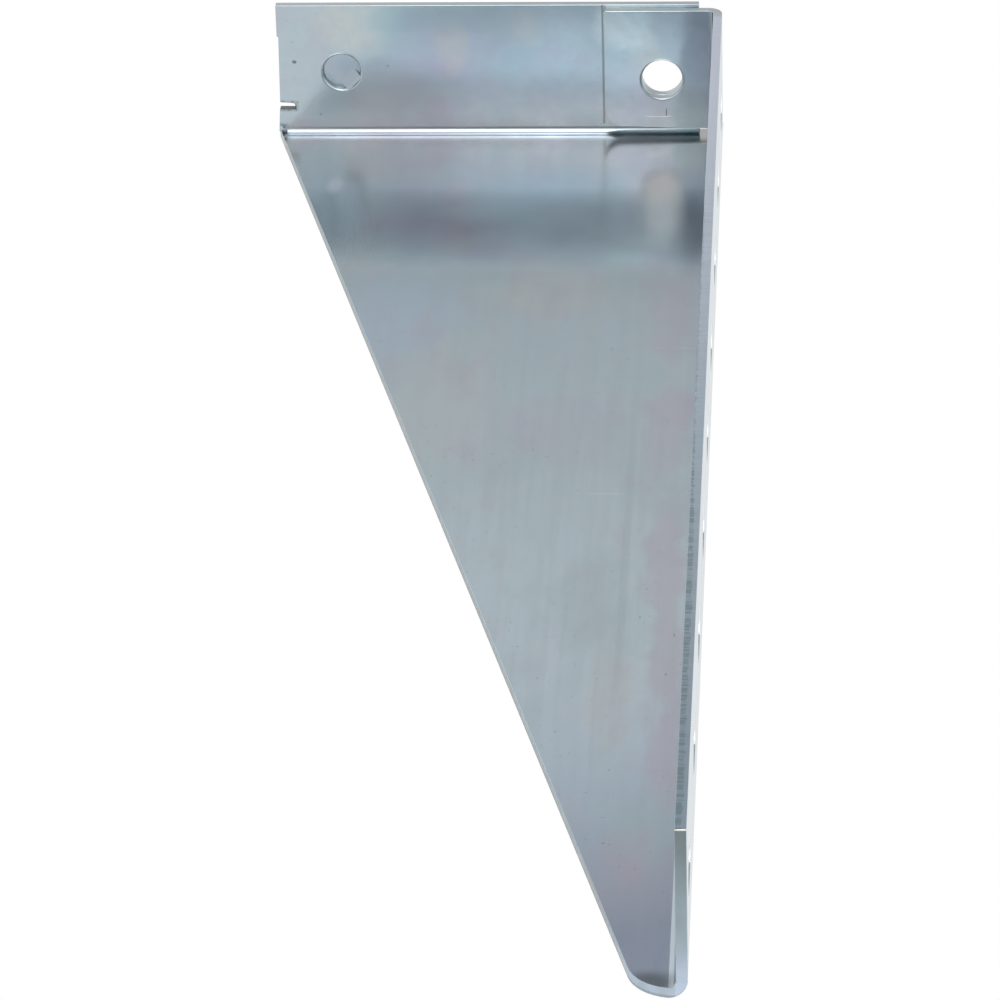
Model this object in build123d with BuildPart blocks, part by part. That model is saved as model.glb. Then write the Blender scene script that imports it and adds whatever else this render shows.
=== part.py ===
from build123d import *
from math import asin, atan2, cos, degrees, floor, hypot, radians, sin
import os

# One steel sheet, cut, pierced and folded into a right-angled shelf bracket.
# The origin is the centre of the bolt hole on the wall face. X runs out along the arm,
# Z runs up, and Y runs from the free edges of the flanges to the back of the web.

# Sheet and folds
sheet = 2.0
fold_radius = 1.5
tab_fold_radius = 1.2

# Overall size, with the arm's end cut slightly off square
arm_length = 358.9
arm_end_slant = 0.9
height = 99.85
plate_width = 32.7
arm_width = 32.0

# Bolt hole, measured from the top of the arm and from the back of the web
bolt_diameter = 9.0
bolt_drop = 13.5
bolt_inset = 15.6
punch_roll = 0.6

# Web
tip_radius = 8.5

# Wall plate: its top end stops short of the arm, its fold stops short of the foot,
# and its lower end rises slightly from the web to the slit
plate_top_gap = 3.2
fold_foot_gap = 1.8
foot_relief = 0.3
foot_rise = 0.35

# Tab, which lies against the inside of the wall plate and shares its bolt hole.
# A narrow relief slit parts it from the web, and it narrows towards its end.
tab_reach = 24.4
tab_clearance = 0.1
tab_relief = 0.2
tab_taper = 0.8
tab_inner_corner = 4.0
tab_outer_corner = 0.7

# Half-sheared disc low on the plate, still joined by a sloping bridge
disc_diameter = 8.2
disc_drop = 71.7
disc_shift = 1.1
disc_depth = 1.2
disc_roll = 0.7
bridge_angle = 45.0
bridge_width = 4.4
bridge_inner = 1.6

# Tongue cut into the foot of the plate, beside a slit that flares towards the foot
slit_from_web = 5.7
slit_width = 1.3
slit_flare = 0.3
slit_roll = 0.5
tongue_length = 3.5
tongue_width = 16.2
tongue_setback = 0.1
tongue_slant = 0.25
tongue_coining = 0.2

# Slots along the arm, as many as leave at least the end margin of metal past the last one
slot_pitch = 40.0
first_slot = 21.3
slot_length = 15.0
slot_width = 7.0
slot_end_margin = 8.0

# Levels worked out from the sizes above
arm_top = bolt_drop
arm_under = arm_top - sheet
foot = arm_top - height
web_back = bolt_inset
web_face = web_back - sheet
plate_edge = web_back - plate_width
arm_edge = web_back - arm_width
outer_radius = fold_radius + sheet
tab_outer_radius = tab_fold_radius + sheet
plate_top = arm_under - plate_top_gap
tab_back = sheet + tab_clearance
tab_front = tab_back + sheet
tab_end = arm_under - tab_reach
tab_far_edge = web_face - fold_radius - tab_relief
fold_start = foot + fold_foot_gap
slit_edge = web_face - slit_from_web
plate_foot_level = foot + foot_rise
bridge_turn = radians(bridge_angle)
slot_room = arm_length - slot_end_margin - slot_length / 2 - first_slot
slot_count = floor(slot_room / slot_pitch) + 1

# The web's lower edge leaves the foot and runs tangent to the rounded tip
tip_centre_x = arm_length - tip_radius
tip_distance = hypot(tip_centre_x, arm_under - foot)
slope = atan2(arm_under - foot, tip_centre_x) - asin(tip_radius / tip_distance)
tip_start = (tip_centre_x + tip_radius * sin(slope), arm_under - tip_radius * cos(slope))

with BuildPart() as bracket:
    # Web and arm: an angle section along the arm, trimmed to the web's outline
    with BuildSketch(Plane.YZ) as angle:
        with BuildLine():
            Polyline(
                (web_back, foot),
                (web_back, arm_top),
                (arm_edge, arm_top),
                (arm_edge, arm_under),
                (web_face, arm_under),
                (web_face, foot),
                close=True,
            )
        make_face()
        fillet(angle.vertices().sort_by_distance((web_back, arm_top))[0], outer_radius)
        fillet(angle.vertices().sort_by_distance((web_face, arm_under))[0], fold_radius)
    extrude(amount=arm_length)
    with BuildSketch(Plane.XZ) as outline:
        with BuildLine():
            lower_edge = Line((0, foot), tip_start)
            tip = JernArc(tip_start, lower_edge % 1, tip_radius, 90 - degrees(slope))
            Polyline(tip @ 1, (arm_length, arm_top), (0, arm_top), (0, foot))
        make_face()
    extrude(amount=plate_width, both=True, mode=Mode.INTERSECT)
    with BuildSketch(Plane.XY.offset(arm_under)) as slant:
        with BuildLine():
            Polyline(
                (arm_length, web_back - outer_radius),
                (arm_length, arm_edge),
                (arm_length - arm_end_slant, arm_edge),
                close=True,
            )
        make_face()
    extrude(amount=sheet, mode=Mode.SUBTRACT)

    # Clear the strip of web where the wall plate's fold goes, leaving a short straight end
    # above and below it
    with BuildSketch(Plane.XZ) as fold_strip:
        with BuildLine():
            Polyline(
                (0, fold_start),
                (outer_radius, fold_start),
                (outer_radius, plate_top),
                (0, plate_top),
                close=True,
            )
        make_face()
    extrude(amount=plate_width, both=True, mode=Mode.SUBTRACT)

    # Wall plate with its fold
    with BuildSketch(Plane.XY.offset(fold_start)) as plate_angle:
        with BuildLine():
            Polyline(
                (0, web_back),
                (outer_radius + sheet, web_back),
                (outer_radius + sheet, web_face),
                (sheet, web_face),
                (sheet, plate_edge),
                (0, plate_edge),
                close=True,
            )
        make_face()
        fillet(plate_angle.vertices().sort_by_distance((0, web_back))[0], outer_radius)
        fillet(plate_angle.vertices().sort_by_distance((sheet, web_face))[0], fold_radius)
    extrude(amount=plate_top - fold_start)

    # The plate runs on below its fold to the foot
    with BuildSketch(Plane.YZ) as plate_foot:
        with BuildLine():
            Polyline(
                (plate_edge, plate_foot_level),
                (slit_edge, plate_foot_level),
                (web_face - foot_relief, foot),
                (web_face - foot_relief, fold_start),
                (plate_edge, fold_start),
                close=True,
            )
        make_face()
    extrude(amount=sheet)

    # Clear the wall end of the arm, then fold the tab down from it
    with BuildSketch(Plane.XY.offset(arm_under)) as arm_end:
        with BuildLine():
            Polyline(
                (0, arm_edge),
                (tab_back + tab_outer_radius, arm_edge),
                (tab_back + tab_outer_radius, web_face - fold_radius),
                (0, web_face - fold_radius),
                close=True,
            )
        make_face()
    extrude(amount=sheet, mode=Mode.SUBTRACT)
    with BuildSketch(Plane.XZ.offset(-tab_far_edge)) as tab_angle:
        with BuildLine():
            Polyline(
                (tab_back, tab_end),
                (tab_back, arm_top),
                (tab_back + 2 * tab_outer_radius, arm_top),
                (tab_back + 2 * tab_outer_radius, arm_under),
                (tab_front, arm_under),
                (tab_front, tab_end),
                close=True,
            )
        make_face()
        fillet(tab_angle.vertices().sort_by_distance((tab_back, arm_top))[0], tab_outer_radius)
        fillet(tab_angle.vertices().sort_by_distance((tab_front, arm_under))[0], tab_fold_radius)
    extrude(amount=tab_far_edge - arm_edge)
    with BuildSketch(Plane.YZ.offset(tab_back)) as tab_narrowing:
        with BuildLine():
            Polyline(
                (tab_far_edge, arm_under - tab_fold_radius),
                (tab_far_edge - tab_taper, tab_end),
                (tab_far_edge, tab_end),
                close=True,
            )
        make_face()
    extrude(amount=sheet, mode=Mode.SUBTRACT)
    tab_corners = bracket.edges().filter_by(Axis.X)
    inner_corner = (tab_front, tab_far_edge - tab_taper, tab_end)
    fillet(tab_corners.sort_by_distance(inner_corner)[0], tab_inner_corner)
    tab_corners = bracket.edges().filter_by(Axis.X)
    fillet(tab_corners.sort_by_distance((tab_front, arm_edge, tab_end))[0], tab_outer_corner)

    # Bolt hole through the tab and the plate, its edge rolled in by the punch
    with BuildSketch(Plane.YZ):
        Circle(bolt_diameter / 2)
    extrude(amount=tab_front, mode=Mode.SUBTRACT)
    round_edges = bracket.edges().filter_by(GeomType.CIRCLE)
    fillet(round_edges.sort_by_distance((tab_front, 0, 0))[0], punch_roll)

    # Half-sheared disc, sunk into the inside of the plate and proud of the wall face
    with BuildSketch(Plane.YZ.offset(sheet - disc_depth)):
        with Locations((-disc_shift, -disc_drop)):
            Circle(disc_diameter / 2)
    extrude(amount=disc_depth, mode=Mode.SUBTRACT)
    round_edges = bracket.edges().filter_by(GeomType.CIRCLE)
    fillet(round_edges.sort_by_distance((sheet, -disc_shift, -disc_drop))[0], disc_roll)
    with BuildSketch(Plane.YZ):
        with Locations((-disc_shift, -disc_drop)):
            Circle(disc_diameter / 2)
    extrude(amount=-disc_depth)

    # The bridge slopes from the plate down to the disc, and the same slope shows on the boss
    across = (0, cos(bridge_turn), sin(bridge_turn))
    along = (0, sin(bridge_turn), -cos(bridge_turn))
    bridge_plane = Plane(origin=(0, -disc_shift, -disc_drop), x_dir=across, z_dir=along)
    with BuildSketch(bridge_plane):
        with BuildLine():
            Polyline(
                (bridge_inner, sheet - disc_depth),
                (disc_diameter / 2, sheet),
                (disc_diameter / 2, sheet - disc_depth),
                close=True,
            )
        make_face()
    extrude(amount=bridge_width / 2, both=True)
    with BuildSketch(bridge_plane):
        with BuildLine():
            Polyline(
                (bridge_inner, -disc_depth),
                (disc_diameter / 2, 0),
                (disc_diameter / 2, -disc_depth),
                close=True,
            )
        make_face()
    extrude(amount=bridge_width / 2, both=True, mode=Mode.SUBTRACT)

    # Tongue in the foot of the plate, set back and pressed slightly thin, with a slit beside it.
    # The slit's end and its edge on the tongue are rolled in, and its edge by the web is torn.
    slit_end = plate_foot_level + tongue_length
    tongue_side = slit_edge - slit_width
    tongue_far = tongue_side - tongue_width
    with BuildSketch(Plane.YZ) as slit:
        with BuildLine():
            Polyline(
                (slit_edge, foot),
                (slit_edge, slit_end),
                (tongue_side, slit_end),
                (tongue_side - slit_flare, plate_foot_level),
                (tongue_side - slit_flare, foot),
                close=True,
            )
        make_face()
        fillet(slit.vertices().sort_by_distance((0, tongue_side, slit_end))[0], slit_width / 2)
    extrude(amount=sheet, mode=Mode.SUBTRACT)
    slit_rim = bracket.edges(Select.LAST).group_by(Axis.X)[-1]
    rolled = slit_rim.filter_by_position(Axis.Y, tongue_side - slit_flare, slit_edge, (True, False))
    fillet(rolled, slit_roll)
    with BuildSketch(Plane.YZ) as tongue_end:
        with BuildLine():
            Polyline(
                (tongue_side, foot),
                (tongue_side, plate_foot_level + tongue_setback),
                (tongue_far, plate_foot_level + tongue_setback + tongue_slant),
                (tongue_far, foot),
                close=True,
            )
        make_face()
    extrude(amount=sheet, mode=Mode.SUBTRACT)
    with BuildSketch(Plane.YZ.offset(sheet - tongue_coining)):
        with Locations((tongue_far + tongue_width / 2, plate_foot_level)):
            Rectangle(tongue_width, 2 * tongue_length)
    extrude(amount=tongue_coining, mode=Mode.SUBTRACT)

    # Row of slots along the arm, in line with the bolt hole
    with BuildSketch(Plane.XY.offset(arm_under)):
        with Locations([(first_slot + slot_pitch * number, 0) for number in range(slot_count)]):
            SlotOverall(slot_length, slot_width)
    extrude(amount=sheet, mode=Mode.SUBTRACT)

bracket.part.label = "bracket"
os.makedirs("parts", exist_ok=True)
export_step(bracket.part, "parts/bracket.step")
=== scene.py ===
import bpy
import bmesh
from math import cos, pi, radians, sin
from mathutils import Matrix, Vector


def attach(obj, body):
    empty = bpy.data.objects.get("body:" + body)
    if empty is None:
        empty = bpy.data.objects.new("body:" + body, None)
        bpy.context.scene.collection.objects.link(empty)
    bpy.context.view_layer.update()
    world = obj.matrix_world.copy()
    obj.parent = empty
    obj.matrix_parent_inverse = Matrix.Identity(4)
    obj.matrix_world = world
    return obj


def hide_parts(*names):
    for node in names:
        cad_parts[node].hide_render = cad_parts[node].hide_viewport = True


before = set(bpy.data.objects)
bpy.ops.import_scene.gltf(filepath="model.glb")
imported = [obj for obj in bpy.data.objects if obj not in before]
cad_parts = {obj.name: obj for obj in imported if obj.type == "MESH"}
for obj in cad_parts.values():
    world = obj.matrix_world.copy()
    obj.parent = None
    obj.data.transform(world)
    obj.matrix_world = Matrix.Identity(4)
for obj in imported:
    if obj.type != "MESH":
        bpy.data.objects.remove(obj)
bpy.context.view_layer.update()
scene = bpy.context.scene

# Sizes and places of the sheet, in metres, as in the CAD
SHEET = 0.002
ARM_TOP = 0.0135
ARM_UNDER = ARM_TOP - SHEET
ARM_END = 0.3589
ARM_EDGE = -0.0164
WEB_BACK = 0.0156
WEB_INNER = WEB_BACK - SHEET
FOLD_OUTSIDE = 0.0035
TAB_BACK = 0.0021
TAB_LEFT = -0.0129
TAB_LOW = 0.0115
DISC = (0.0008, -0.0011, -0.0717)
DISC_RADIUS = 0.0045
SLIT_MIDDLE = 0.0071
SLIT_HALF = 0.0008
SLIT_TOP = -0.0815
SLOT_FIRST = 0.0133
SLOT_PITCH = 0.040

# What lies beyond this Y is the web, and what lies above this Z the arm, for the shaders
WEB_FROM = WEB_INNER - 2e-5
ARM_FROM = ARM_UNDER - 1e-4

# A faint line that the rolls left along the web, at this height
ROLLED_LINE = -0.0018

# The rims of the cut edges are eased by this much
EASED = 0.00015
# A face belongs to the sheet's surface while its normal lies along that surface's by more than this,
# and it is square to an axis when its normal lies along the axis by more than the second
SURFACE = 0.85
SQUARE = 0.95

# How far the web leans in beside the wall plate, and the stretch from the wall where it does
LEAN = 0.0019
LEAN_SPAN = (0.032, 0.075)

# What the lamps and cards point at, and the floor's height
AIM = Vector((0.12, 0.0, -0.02))
FLOOR_LEVEL = -0.25


# ---------------------------------------------------------------- shader graphs


def feed(entry, value):
    """Links a Socket to a node's input, or sets the input to a plain value. Colours come without alpha."""
    if isinstance(value, Socket):
        entry.id_data.links.new(value.out, entry)
    elif entry.type == "RGBA":
        entry.default_value = (*value, 1)
    else:
        entry.default_value = value


class Socket:
    """A shader value, or a vector in metres, that ordinary arithmetic works on."""

    def __init__(self, out):
        self.out = out

    def node(self, kind, settings=None, values=None, output=0):
        """A new node's output. Its settings come first, then values or links, by an input's name or number."""
        made = self.out.id_data.nodes.new(kind)
        for name, value in (settings or {}).items():
            setattr(made, name, value)
        for key, value in (values or {}).items():
            feed(made.inputs[key], value)
        return Socket(made.outputs[output])

    def maths(self, operation, *values):
        """Arithmetic on plain values, or on vectors when self is one."""
        kind = "ShaderNodeMath" if self.out.type == "VALUE" else "ShaderNodeVectorMath"
        return self.node(kind, {"operation": operation}, dict(enumerate(values)))

    def __add__(self, other):
        return self.maths("ADD", self, other)

    def __radd__(self, other):
        return self.maths("ADD", other, self)

    def __sub__(self, other):
        return self.maths("SUBTRACT", self, other)

    def __rsub__(self, other):
        return self.maths("SUBTRACT", other, self)

    def __mul__(self, other):
        if self.out.type == "VALUE":
            return self.maths("MULTIPLY", self, other)
        return self.node("ShaderNodeVectorMath", {"operation": "SCALE"}, {0: self, "Scale": other})

    __rmul__ = __mul__

    def __truediv__(self, other):
        return self.maths("DIVIDE", self, other)

    def __rtruediv__(self, other):
        return self.maths("DIVIDE", other, self)

    def __mod__(self, other):
        return self.maths("MODULO", self, other)

    def __neg__(self):
        return self * -1.0

    def __abs__(self):
        return self.maths("ABSOLUTE", self)

    def over(self, other):
        """1 where self is greater than other, else 0."""
        return self.maths("GREATER_THAN", self, other)

    def length(self):
        return self.node("ShaderNodeVectorMath", {"operation": "LENGTH"}, {0: self}, output=1)

    def parts(self):
        """The vector's x, y and z."""
        split = self.node("ShaderNodeSeparateXYZ", values={0: self}).out.node
        return [Socket(out) for out in split.outputs]

    def ramp(self, low, high, out_low=0.0, out_high=1.0):
        """Goes smoothly from out_low to out_high while self goes from low to high."""
        return self.node("ShaderNodeMapRange", {"interpolation_type": "SMOOTHSTEP"}, {
            "Value": self, "From Min": low, "From Max": high, "To Min": out_low, "To Max": out_high})

    def tones(self, stops):
        """A colour that runs through stops: pairs of a value and a colour, in rising order."""
        low, high = stops[0][0], stops[-1][0]
        made = self.node("ShaderNodeValToRGB", values={0: (self - low) / (high - low)})
        elements = made.out.node.color_ramp.elements
        elements[0].color = (*stops[0][1], 1)
        elements[1].color = (*stops[-1][1], 1)
        for value, colour in stops[1:-1]:
            elements.new((value - low) / (high - low)).color = (*colour, 1)
        return made

    def noise(self, scale, detail=2.0, stretch=(1, 1, 1), seed=0.0, output=0):
        """A cloudy pattern from 0 to 1 at self, a place in metres. Output 1 is a colour of three such patterns."""
        place = self.node("ShaderNodeMapping", values={
            "Vector": self, "Scale": stretch, "Location": (seed, 1.7 * seed, 0)})
        return self.node("ShaderNodeTexNoise", values={"Vector": place, "Scale": scale, "Detail": detail},
                         output=output)


def mix(factor, first, second):
    """A colour between two colours."""
    return factor.node("ShaderNodeMix", {"data_type": "RGBA"}, {0: factor, 6: first, 7: second}, output=2)


def material(name):
    """A new material and its shader."""
    made = bpy.data.materials.new(name)
    made.use_nodes = True
    return made, made.node_tree.nodes["Principled BSDF"]


def object_place(made):
    """The place in the object's own axes, in metres, which are the CAD's."""
    return Socket(made.node_tree.nodes.new("ShaderNodeTexCoord").outputs["Object"])


# ---------------------------------------------------------------- colours and stains


LILAC = (0.47, 0.42, 0.52)
MAUVE = (0.40, 0.35, 0.45)
PINK = (0.52, 0.44, 0.52)
STRAW = (0.56, 0.58, 0.54)
TEAL = (0.40, 0.56, 0.57)
SKY = (0.42, 0.55, 0.68)
DIRT = (0.10, 0.11, 0.12)
BARE = (0.78, 0.82, 0.84)

# Tones along the web, by the distance from the wall: the passivate's tint, with a painted reflection in it of a
# light band next to the wall plate and a dark band after it; darker towards the tip
WEB_TONES_AND_REFLECTION = (
    (0.004, (0.57, 0.54, 0.53)),
    (0.012, (0.64, 0.61, 0.60)),
    (0.022, (0.56, 0.56, 0.57)),
    (0.034, (0.47, 0.52, 0.55)),
    (0.046, (0.45, 0.52, 0.56)),
    (0.062, (0.47, 0.53, 0.57)),
    (0.078, (0.43, 0.51, 0.56)),
    (0.110, (0.46, 0.55, 0.61)),
    (0.165, (0.50, 0.59, 0.65)),
    (0.215, (0.55, 0.65, 0.71)),
    (0.255, (0.56, 0.65, 0.72)),
    (0.285, (0.50, 0.60, 0.69)),
    (0.305, (0.42, 0.51, 0.60)),
    (0.322, (0.39, 0.42, 0.51)),
    (0.342, (0.31, 0.36, 0.46)),
)
# Tones along the arm's sheared edge, by the distance from the wall
ARM_EDGE_TONES = (
    (0.05, (0.62, 0.67, 0.77)),
    (0.16, (0.50, 0.57, 0.66)),
    (0.21, (0.43, 0.51, 0.59)),
    (0.28, (0.36, 0.43, 0.50)),
    (0.33, (0.30, 0.37, 0.44)),
)
# Tones across the arm's end face, by Y
ARM_END_TONES = (
    (-0.016, (0.20, 0.24, 0.25)),
    (-0.006, (0.29, 0.36, 0.39)),
    (0.004, (0.38, 0.46, 0.51)),
    (0.013, (0.56, 0.65, 0.78)),
)

# Stains of the passivate, each a middle and radii in metres, a colour and a strength.
# Those of the web go through the sheet and show on both of its faces.
WEB_STAINS = (
    ((0.012, 0.0136, -0.047), (0.012, 0.02, 0.016), PINK, 0.15),
    ((0.042, 0.0136, -0.048), (0.014, 0.02, 0.010), MAUVE, 0.20),
    ((0.056, 0.0136, -0.053), (0.009, 0.02, 0.011), MAUVE, 0.45),
    ((0.060, 0.0136, -0.037), (0.010, 0.02, 0.007), MAUVE, 0.35),
    ((0.086, 0.0136, -0.022), (0.012, 0.02, 0.012), STRAW, 0.30),
    ((0.098, 0.0136, -0.052), (0.022, 0.02, 0.012), SKY, 0.45),
    ((0.138, 0.0136, -0.041), (0.030, 0.02, 0.010), STRAW, 0.25),
    ((0.152, 0.0136, -0.016), (0.016, 0.02, 0.012), LILAC, 0.20),
    ((0.100, 0.0136, 0.0045), (0.022, 0.02, 0.004), PINK, 0.30),
    ((0.152, 0.0136, 0.0055), (0.020, 0.02, 0.005), PINK, 0.35),
    ((0.205, 0.0136, 0.0060), (0.026, 0.02, 0.004), PINK, 0.45),
    ((0.247, 0.0136, 0.0065), (0.018, 0.02, 0.004), PINK, 0.40),
    ((0.284, 0.0136, 0.0080), (0.020, 0.02, 0.003), PINK, 0.45),
    ((0.223, 0.0136, -0.008), (0.020, 0.02, 0.006), TEAL, 0.30),
    ((0.262, 0.0136, -0.003), (0.022, 0.02, 0.004), STRAW, 0.30),
    ((0.307, 0.0136, 0.0055), (0.012, 0.02, 0.005), TEAL, 0.35),
    ((0.316, 0.0136, 0.0025), (0.010, 0.02, 0.004), PINK, 0.30),
)
# On the wall plate and the tab; the two darker patches at Z −0.060 towards the web are painted shade
PLATE_STAINS_AND_SHADE = (
    ((0.002, -0.0125, -0.0690), (0.02, 0.005, 0.008), STRAW, 0.40),
    ((0.002, -0.0076, -0.0660), (0.02, 0.004, 0.005), STRAW, 0.40),
    ((0.002, -0.0064, -0.0466), (0.02, 0.006, 0.0030), STRAW, 0.60),
    ((0.002, -0.0130, -0.0420), (0.02, 0.004, 0.011), (0.38, 0.47, 0.49), 0.4),
    ((0.002, -0.0039, -0.0295), (0.02, 0.006, 0.009), SKY, 0.30),
    ((0.002, 0.0021, -0.0498), (0.02, 0.007, 0.012), LILAC, 0.35),
    ((0.002, -0.0111, -0.0310), (0.02, 0.004, 0.004), STRAW, 0.40),
    # Painted shade where the plate faces the web: this patch and the next
    ((0.002, 0.0045, -0.0600), (0.02, 0.008, 0.014), (0.34, 0.37, 0.42), 0.6),
    ((0.002, 0.0118, -0.0600), (0.02, 0.003, 0.026), (0.41, 0.43, 0.48), 0.5),
    ((0.002, -0.0140, -0.0582), (0.02, 0.003, 0.007), (0.33, 0.45, 0.49), 0.45),
    ((0.004, -0.0059, -0.0037), (0.02, 0.005, 0.003), STRAW, 0.5),
    ((0.004, -0.0125, -0.0085), (0.02, 0.006, 0.0065), (0.64, 0.72, 0.75), 0.75),
    ((0.002, 0.0040, -0.0280), (0.02, 0.007, 0.0200), (0.51, 0.59, 0.67), 0.5),
    ((0.004, 0.0040, -0.0070), (0.02, 0.008, 0.0060), (0.53, 0.61, 0.70), 0.6),
    ((0.004, -0.0023, 0.0085), (0.02, 0.020, 0.0045), (0.26, 0.30, 0.36), 0.8),
    ((0.004, 0.0082, 0.0062), (0.02, 0.004, 0.0035), (0.28, 0.40, 0.38), 0.5),
)
# On the web's inner face alone, so they are thin along Y: painted reflections of the disc and the bolt hole,
# painted shade beside the arm and at the tip, and a darker and a lighter patch
INNER_REFLECTIONS_AND_SHADE = (
    ((0.026, 0.0136, -0.0755), (0.020, 0.001, 0.0060), (0.37, 0.43, 0.46), 0.55),
    # Painted reflections in the web: of the disc, then of the bolt hole
    ((0.031, 0.0136, -0.0715), (0.0038, 0.001, 0.0018), (0.74, 0.73, 0.74), 0.5),
    ((0.033, 0.0136, -0.001), (0.010, 0.001, 0.006), (0.66, 0.62, 0.60), 0.5),
    ((0.020, 0.0136, -0.066), (0.009, 0.001, 0.006), (0.60, 0.56, 0.54), 0.4),
    # Painted shade beside the arm, then a painted shadow at the web's tip
    ((0.055, 0.0136, 0.0075), (0.018, 0.001, 0.0038), (0.28, 0.31, 0.34), 0.75),
    ((0.3572, 0.0136, 0.0070), (0.0030, 0.001, 0.0040), (0.10, 0.12, 0.13), 0.75),
)
# Specks of dirt and scratches
MARKS = (
    ((0.002, -0.0036, -0.0823), (0.02, 0.0004, 0.0005), DIRT, 0.75),
    ((0.002, -0.0026, -0.0613), (0.02, 0.0003, 0.0003), DIRT, 0.4),
    ((0.002, 0.0090, -0.0768), (0.02, 0.0003, 0.0003), DIRT, 0.4),
    ((0.0041, 0.0079, 0.0009), (0.001, 0.0010, 0.00012), DIRT, 0.8),
    ((0.0041, 0.0089, -0.0009), (0.001, 0.00014, 0.0030), BARE, 0.6),
    ((0.1797, 0.0136, -0.0063), (0.0001, 0.001, 0.0040), BARE, 0.5),
    ((0.1140, 0.0136, 0.0080), (0.0001, 0.001, 0.0022), BARE, 0.4),
    ((0.1140, 0.0136, 0.0020), (0.0001, 0.001, 0.0010), BARE, 0.4),
)


def oval_patches(place, tone, spots, drift=0.008, soft=0.4):
    """Lays oval patches over a tone, of stain and of painted light alike. Drift, in metres, makes them ragged, and
    soft blurs their rims.
    """
    ragged = place + (place.noise(110, output=1) - (0.5, 0.5, 0.5)) * drift
    for middle, radii, colour, strength in spots:
        away = ((ragged - middle) / radii).length()
        tone = mix(away.ramp(1 - soft, 1 + soft, strength, 0), tone, colour)
    return tone


def slit_mask(y, z):
    """1 on the rolled rim of the slit in the plate's foot, where the sheet tore, 0 away from it."""
    across = abs(y - SLIT_MIDDLE).ramp(SLIT_HALF, SLIT_HALF + 0.0007, 1, 0)
    return across * (SLIT_TOP - z).ramp(0, 0.0007)


# ---------------------------------------------------------------- materials


def clouds_and_painted_reflection(place):
    """The passivate's clouds and stain patches, with painted shade on the plate and painted reflection along the
    web: one tone for the plate and the arm, others along the web.
    """
    x, y, z = place.parts()
    plain = mix(place.noise(60, 3), (0.42, 0.50, 0.55), (0.48, 0.56, 0.61))
    near_plate = mix(x.ramp(0.0045, 0.006), oval_patches(place, plain, PLATE_STAINS_AND_SHADE), plain)
    along_web = x + (place.noise(25, 3, seed=6.0) - 0.5) * 0.03
    on_web = oval_patches(place, along_web.tones(WEB_TONES_AND_REFLECTION), WEB_STAINS)
    tone = mix(y.over(WEB_FROM), near_plate, on_web)
    drawn = place.noise(420, 3, stretch=(0.04, 1, 1), seed=9.0)
    tone = mix(drawn.ramp(0.35, 0.65, 0, 0.16), tone, (0.40, 0.45, 0.50))
    for scale, seed, tint in ((110, 3.0, LILAC), (90, 12.0, TEAL)):
        patchy = place.noise(scale, 4, stretch=(0.5, 1, 1), seed=seed)
        tone = mix(patchy.ramp(0.45, 0.75, 0, 0.3), tone, tint)
    return tone


def wear_and_painted_light(place, tone):
    """The marks on the sheet's faces: a line from the rolls, specks, scratches, a darker line along the tab's
    edge, a darker sunken disc, painted shade in the foot's corner and on the slit's rim, and painted reflections
    and shade on the web's inner face.
    """
    x, y, z = place.parts()
    rolled = y.over(WEB_FROM) * abs(z - ROLLED_LINE).ramp(0.0003, 0.0012, 1, 0)
    rolled = rolled * x.ramp(0.13, 0.17) * (0.27 - x).ramp(0, 0.03)
    tone = mix(rolled * 0.3, tone, (0.40, 0.47, 0.50))
    tone = mix(place.noise(1500, 1, seed=15.0).ramp(0.74, 0.80) * 0.5, tone, DIRT)
    # Painted reflections and shade on the web's inner face
    tone = oval_patches(place, tone, INNER_REFLECTIONS_AND_SHADE, drift=0.001, soft=0.6)
    tone = oval_patches(place, tone, MARKS, drift=0.0003, soft=0.25)
    tab_gap = abs(z - TAB_LEFT + 0.00025).ramp(0.0001, 0.00035, 1, 0)
    tab_gap = tab_gap * (TAB_BACK - x).over(0) * (TAB_LOW - y).over(0)
    tone = mix(tab_gap * 0.6, tone, (0.16, 0.15, 0.11))
    in_disc = (place - DISC).length().ramp(DISC_RADIUS - 0.0003, DISC_RADIUS, 1, 0) * (SHEET - 0.0003 - x).over(0)
    tone = mix(in_disc * 0.6, tone, (0.33, 0.39, 0.46))
    # Painted shade in the foot's corner by the web, blotched by a noise
    foot_corner_shade = (-z).ramp(0.0838, 0.0850) * y.ramp(0.0105, 0.0125)
    foot_corner_shade = foot_corner_shade * place.noise(900, 3, seed=5.0).ramp(0.4, 0.6)
    tone = mix(foot_corner_shade * 0.85, tone, (0.07, 0.08, 0.12))
    # Painted shade on the slit's rolled rim, ragged by a noise
    torn_rim_shade = slit_mask(y, z) * place.noise(1200, 2, seed=8.0).ramp(0.35, 0.6, 0.3, 1)
    return mix(torn_rim_shade * 0.8, tone, (0.09, 0.10, 0.11))


def zinc_face():
    """Bright zinc with its cloudy passivate, painted reflections and painted shade; the web leans a little beside
    the wall plate.
    """
    made, shader = material("zinc_plate")
    place = object_place(made)
    x, y, z = place.parts()
    lean = y.over(WEB_FROM) * x.ramp(*LEAN_SPAN, 0, LEAN)
    waves = place.noise(45, 2, stretch=(0.6, 1, 1), seed=7.0) * 3e-5
    bump = place.node("ShaderNodeBump", values={"Height": lean + waves, "Distance": 1.0, "Strength": 1.0})
    feed(shader.inputs["Metallic"], 1)
    feed(shader.inputs["Base Color"], wear_and_painted_light(place, clouds_and_painted_reflection(place)))
    feed(shader.inputs["Roughness"], place.noise(90, 3, seed=4.0).ramp(0.3, 0.7, 0.19, 0.23))
    feed(shader.inputs["Normal"], bump)
    return made


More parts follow.
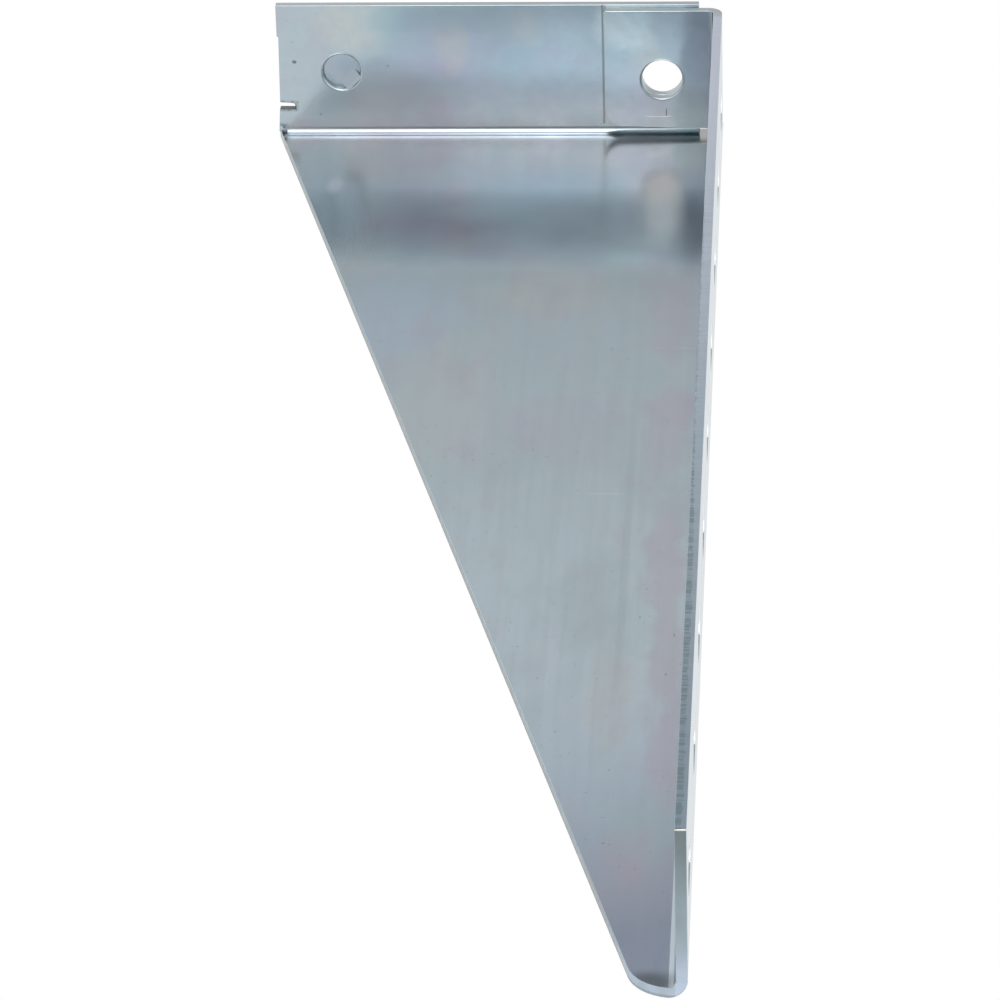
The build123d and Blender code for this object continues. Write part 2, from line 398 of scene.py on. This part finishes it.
def zinc_cut():
    """The sheared edges of the sheet: duller, with shear marks across the thickness, a painted highlight at the
    slots' ends and painted shade on the slit's rim.
    """
    made, shader = material("zinc_plate_cut_edge")
    place = object_place(made)
    x, y, z = place.parts()
    arm_level = z.over(ARM_FROM)
    on_arm = (-y).over(-0.001) * arm_level
    at_end = x.over(ARM_END - 0.0011) * arm_level

    web_edge = mix(place.noise(120, 2), (0.38, 0.42, 0.44), (0.42, 0.48, 0.50))
    web_edge = mix(x.ramp(0.338, 0.355), web_edge, (0.50, 0.58, 0.67))
    plate_edge = mix(place.noise(300, 2), (0.46, 0.52, 0.54), (0.54, 0.60, 0.61))
    tone = mix(x.ramp(0.006, 0.008), plate_edge, mix(on_arm, web_edge, x.tones(ARM_EDGE_TONES)))
    broken = y.over(WEB_BACK - 0.0006) * x.over(FOLD_OUTSIDE)
    tone = mix(broken * 0.35, tone, (0.12, 0.14, 0.15))
    tone = mix(at_end, tone, y.tones(ARM_END_TONES))

    # Shear marks, deeper into the arm's edge the further out they are, and a burr at its end
    ticks = place.noise(1400, 2, stretch=(1, 0.12, 0.12), seed=2.0).ramp(0.38, 0.62) * x.ramp(0.08, 0.12)
    tone = mix(ticks * 0.15, tone, (0.24, 0.32, 0.33))
    rim_depth = x.ramp(0.20, 0.28, 0.0004, 0.0013) + (place.noise(500, 2, seed=11.0) - 0.5) * 0.0010
    low_rim = on_arm * (1 - at_end) * (ARM_UNDER + rim_depth - z).ramp(0, 0.0003) * x.ramp(0.10, 0.13)
    tone = mix(low_rim * (0.15 + ticks * 0.45), tone, (0.13, 0.20, 0.21))
    burr = on_arm * (ARM_EDGE + 0.0003 - y).ramp(0, 0.0001) * x.over(ARM_END - 0.0010)
    tone = mix(burr * place.noise(2500, 1).ramp(0.36, 0.52, 0.2, 1), tone, (0.85, 0.83, 0.79))

    # A painted highlight on the slots' ends nearest the wall
    past_slot_end = (x - SLOT_FIRST) % SLOT_PITCH
    slot_end_highlight = (0.0025 - past_slot_end).over(0) * (0.004 - abs(y)).over(0) * x.over(SLOT_FIRST)
    tone = mix(slot_end_highlight * arm_level, tone, (0.95, 0.96, 0.97))
    # Painted shade on the slit's rim
    tone = mix(slit_mask(y, z) * 0.8, tone, (0.07, 0.08, 0.09))

    rough = place.noise(400, 2, stretch=(3, 1, 1), seed=2.0).ramp(0.3, 0.7, 0.36, 0.5)
    feed(shader.inputs["Metallic"], 1)
    feed(shader.inputs["Base Color"], tone)
    feed(shader.inputs["Roughness"], rough)
    return made


# ---------------------------------------------------------------- the finished sheet


def is_cut(face):
    """True for the sheet's cut edges: faces square to the surface of the sheet around them."""
    middle, normal = face.calc_center_median(), face.normal
    if middle.y < ARM_EDGE + 5e-4 and normal.y < -0.7:
        return True
    if middle.z > ARM_UNDER - 1e-5:
        if middle.x > TAB_BACK + FOLD_OUTSIDE and middle.y < WEB_BACK - FOLD_OUTSIDE:
            return abs(normal.z) < SURFACE
        long_edge = abs(normal.y) > SQUARE and middle.y < 0
        end_face = abs(normal.x) > SQUARE and middle.x > ARM_END / 2
        return long_edge or end_face
    if middle.y > WEB_INNER - 1e-5 and middle.x > FOLD_OUTSIDE:
        return abs(normal.y) < SURFACE
    if middle.x < FOLD_OUTSIDE + 0.001 and middle.y < WEB_BACK - FOLD_OUTSIDE:
        return abs(normal.x) < SURFACE
    return abs(normal.z) > SQUARE


def finished_sheet(node, face_finish, cut_finish):
    """A copy of the CAD sheet with the rims of its cut edges eased."""
    bm = bmesh.new()
    bm.from_mesh(node.data)
    bmesh.ops.remove_doubles(bm, verts=bm.verts, dist=2e-6)
    bmesh.ops.dissolve_limit(bm, angle_limit=radians(0.2), verts=bm.verts, edges=bm.edges)
    sharp = [e for e in bm.edges if e.is_manifold and e.calc_face_angle(0) > radians(35)]
    hollow_ends = {v for e in sharp if not e.is_convex for v in e.verts}
    rims = [e for e in sharp if e.is_convex and radians(80) < e.calc_face_angle(0) < radians(100)
            and not hollow_ends.intersection(e.verts)]
    bmesh.ops.bevel(bm, geom=rims, offset=EASED, segments=2, affect="EDGES", profile=0.5, material=-1)
    for face in bm.faces:
        face.smooth = True
        face.material_index = is_cut(face)
    for edge in bm.edges:
        edge.smooth = not (edge.is_manifold and edge.calc_face_angle(0) > radians(50))
    mesh = bpy.data.meshes.new("bracket_sheet")
    bm.to_mesh(mesh)
    bm.free()
    mesh.materials.append(face_finish)
    mesh.materials.append(cut_finish)
    piece = bpy.data.objects.new("bracket_sheet", mesh)
    scene.collection.objects.link(piece)
    weighted = piece.modifiers.new("flat faces stay flat", "WEIGHTED_NORMAL")
    weighted.keep_sharp = True
    weighted.weight = 100
    return piece


sheet = finished_sheet(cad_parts["bracket"], zinc_face(), zinc_cut())
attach(sheet, "root")
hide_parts("bracket")


# ---------------------------------------------------------------- camera and stage


def make_camera():
    """The camera that was fitted to the photo."""
    place = Vector((1.117682, -0.467881, 0.034597))
    looking = Vector((-0.887576, 0.456934, -0.05848)).normalized()
    photo_right = Vector((-0.053025, 0.024766, 0.998286))
    photo_right = (photo_right - photo_right.dot(looking) * looking).normalized()
    photo_up = photo_right.cross(looking)
    data = bpy.data.cameras.new("camera")
    data.lens = 194.631
    data.sensor_width = 36
    data.clip_start, data.clip_end = 0.01, 100
    camera = bpy.data.objects.new("camera", data)
    camera.matrix_world = Matrix.LocRotScale(
        place, Matrix((photo_right, photo_up, -looking)).transposed(), None)
    scene.collection.objects.link(camera)
    scene.camera = camera


def bearing(azimuth, elevation, distance):
    """The place at that distance from the bracket, azimuth from +X towards +Y, in degrees."""
    turn, rise = radians(azimuth), radians(elevation)
    return AIM + distance * Vector((cos(rise) * cos(turn), cos(rise) * sin(turn), sin(rise)))


def flat_piece(name, width, depth, place, turn):
    """A flat rectangle as a stage object, with its vertices put in place."""
    bm = bmesh.new()
    bmesh.ops.create_grid(bm, x_segments=1, y_segments=1, size=0.5)
    bmesh.ops.scale(bm, vec=(width, depth, 1), verts=bm.verts)
    bmesh.ops.transform(bm, matrix=Matrix.LocRotScale(Vector(place), turn, None), verts=bm.verts)
    mesh = bpy.data.meshes.new(name)
    bm.to_mesh(mesh)
    bm.free()
    made = bpy.data.objects.new(name, mesh)
    scene.collection.objects.link(made)
    return made


def card(name, place, width, height, grey):
    """A glowing card out of the camera's sight, which the metal mirrors."""
    made = flat_piece(name, width, height, place, (AIM - place).to_track_quat("Z", "Y"))
    made.visible_camera = False
    glow, shader = material(name)
    feed(shader.inputs["Base Color"], (0, 0, 0))
    feed(shader.inputs["Specular IOR Level"], 0)
    feed(shader.inputs["Emission Color"], (grey, grey, grey))
    feed(shader.inputs["Emission Strength"], 1)
    made.data.materials.append(glow)


def lamp(name, place, width, height, radiance):
    """A rectangular lamp out of the camera's sight, as bright per area as a card of that grey."""
    data = bpy.data.lights.new(name, "AREA")
    data.shape = "RECTANGLE"
    data.size, data.size_y = width, height
    data.energy = radiance * pi * width * height
    made = bpy.data.objects.new(name, data)
    made.matrix_world = Matrix.LocRotScale(
        place, (AIM - place).to_track_quat("-Z", "Y"), None)
    made.visible_camera = False
    scene.collection.objects.link(made)


def white_world():
    """An even white all round."""
    world = bpy.data.worlds.new("studio")
    scene.world = world
    world.use_nodes = True
    background = world.node_tree.nodes["Background"]
    feed(background.inputs["Color"], (1, 1, 1))
    feed(background.inputs["Strength"], 1.0)


def pale_floor():
    """A pale floor that takes the shadow, and turns to plain white well away from the bracket."""
    under_bracket = (AIM.x, AIM.y, FLOOR_LEVEL)
    made = flat_piece("floor", 8, 8, under_bracket, None)
    paper, shader = material("floor_paper")
    feed(shader.inputs["Base Color"], (0.85, 0.85, 0.85))
    feed(shader.inputs["Roughness"], 0.9)
    feed(shader.inputs["Specular IOR Level"], 0.1)
    place = object_place(paper)
    path = place.node("ShaderNodeLightPath").out.node
    camera_ray, glossy_ray, transmission_ray = (
        Socket(path.outputs[f"Is {kind} Ray"]) for kind in ("Camera", "Glossy", "Transmission"))
    seen = camera_ray + glossy_ray + transmission_ray
    white = place.node("ShaderNodeEmission", values={"Color": (1, 1, 1)})
    far_off = (place - under_bracket).length().ramp(0.45, 0.62)
    blend = place.node("ShaderNodeMixShader", values={
        0: far_off * seen, 1: Socket(shader.outputs[0]), 2: white})
    feed(paper.node_tree.nodes["Material Output"].inputs["Surface"], blend)
    made.data.materials.append(paper)


make_camera()
white_world()
pale_floor()
card("grey_card", bearing(-152, -3, 1.4), width=2.0, height=2.0, grey=0.68)
card("dark_card", bearing(-7.5, -4, 1.3), width=0.74, height=0.95, grey=0.3)
lamp("soft_box", bearing(-50, 1, 1.3), width=1.27, height=0.66, radiance=1.15)
lamp("key", bearing(-62, -2, 1.2), width=0.75, height=0.34, radiance=2.8)
lamp("top", bearing(-60, 76, 1.3), width=1.2, height=1.2, radiance=0.8)
scene.view_settings.view_transform = "Standard"
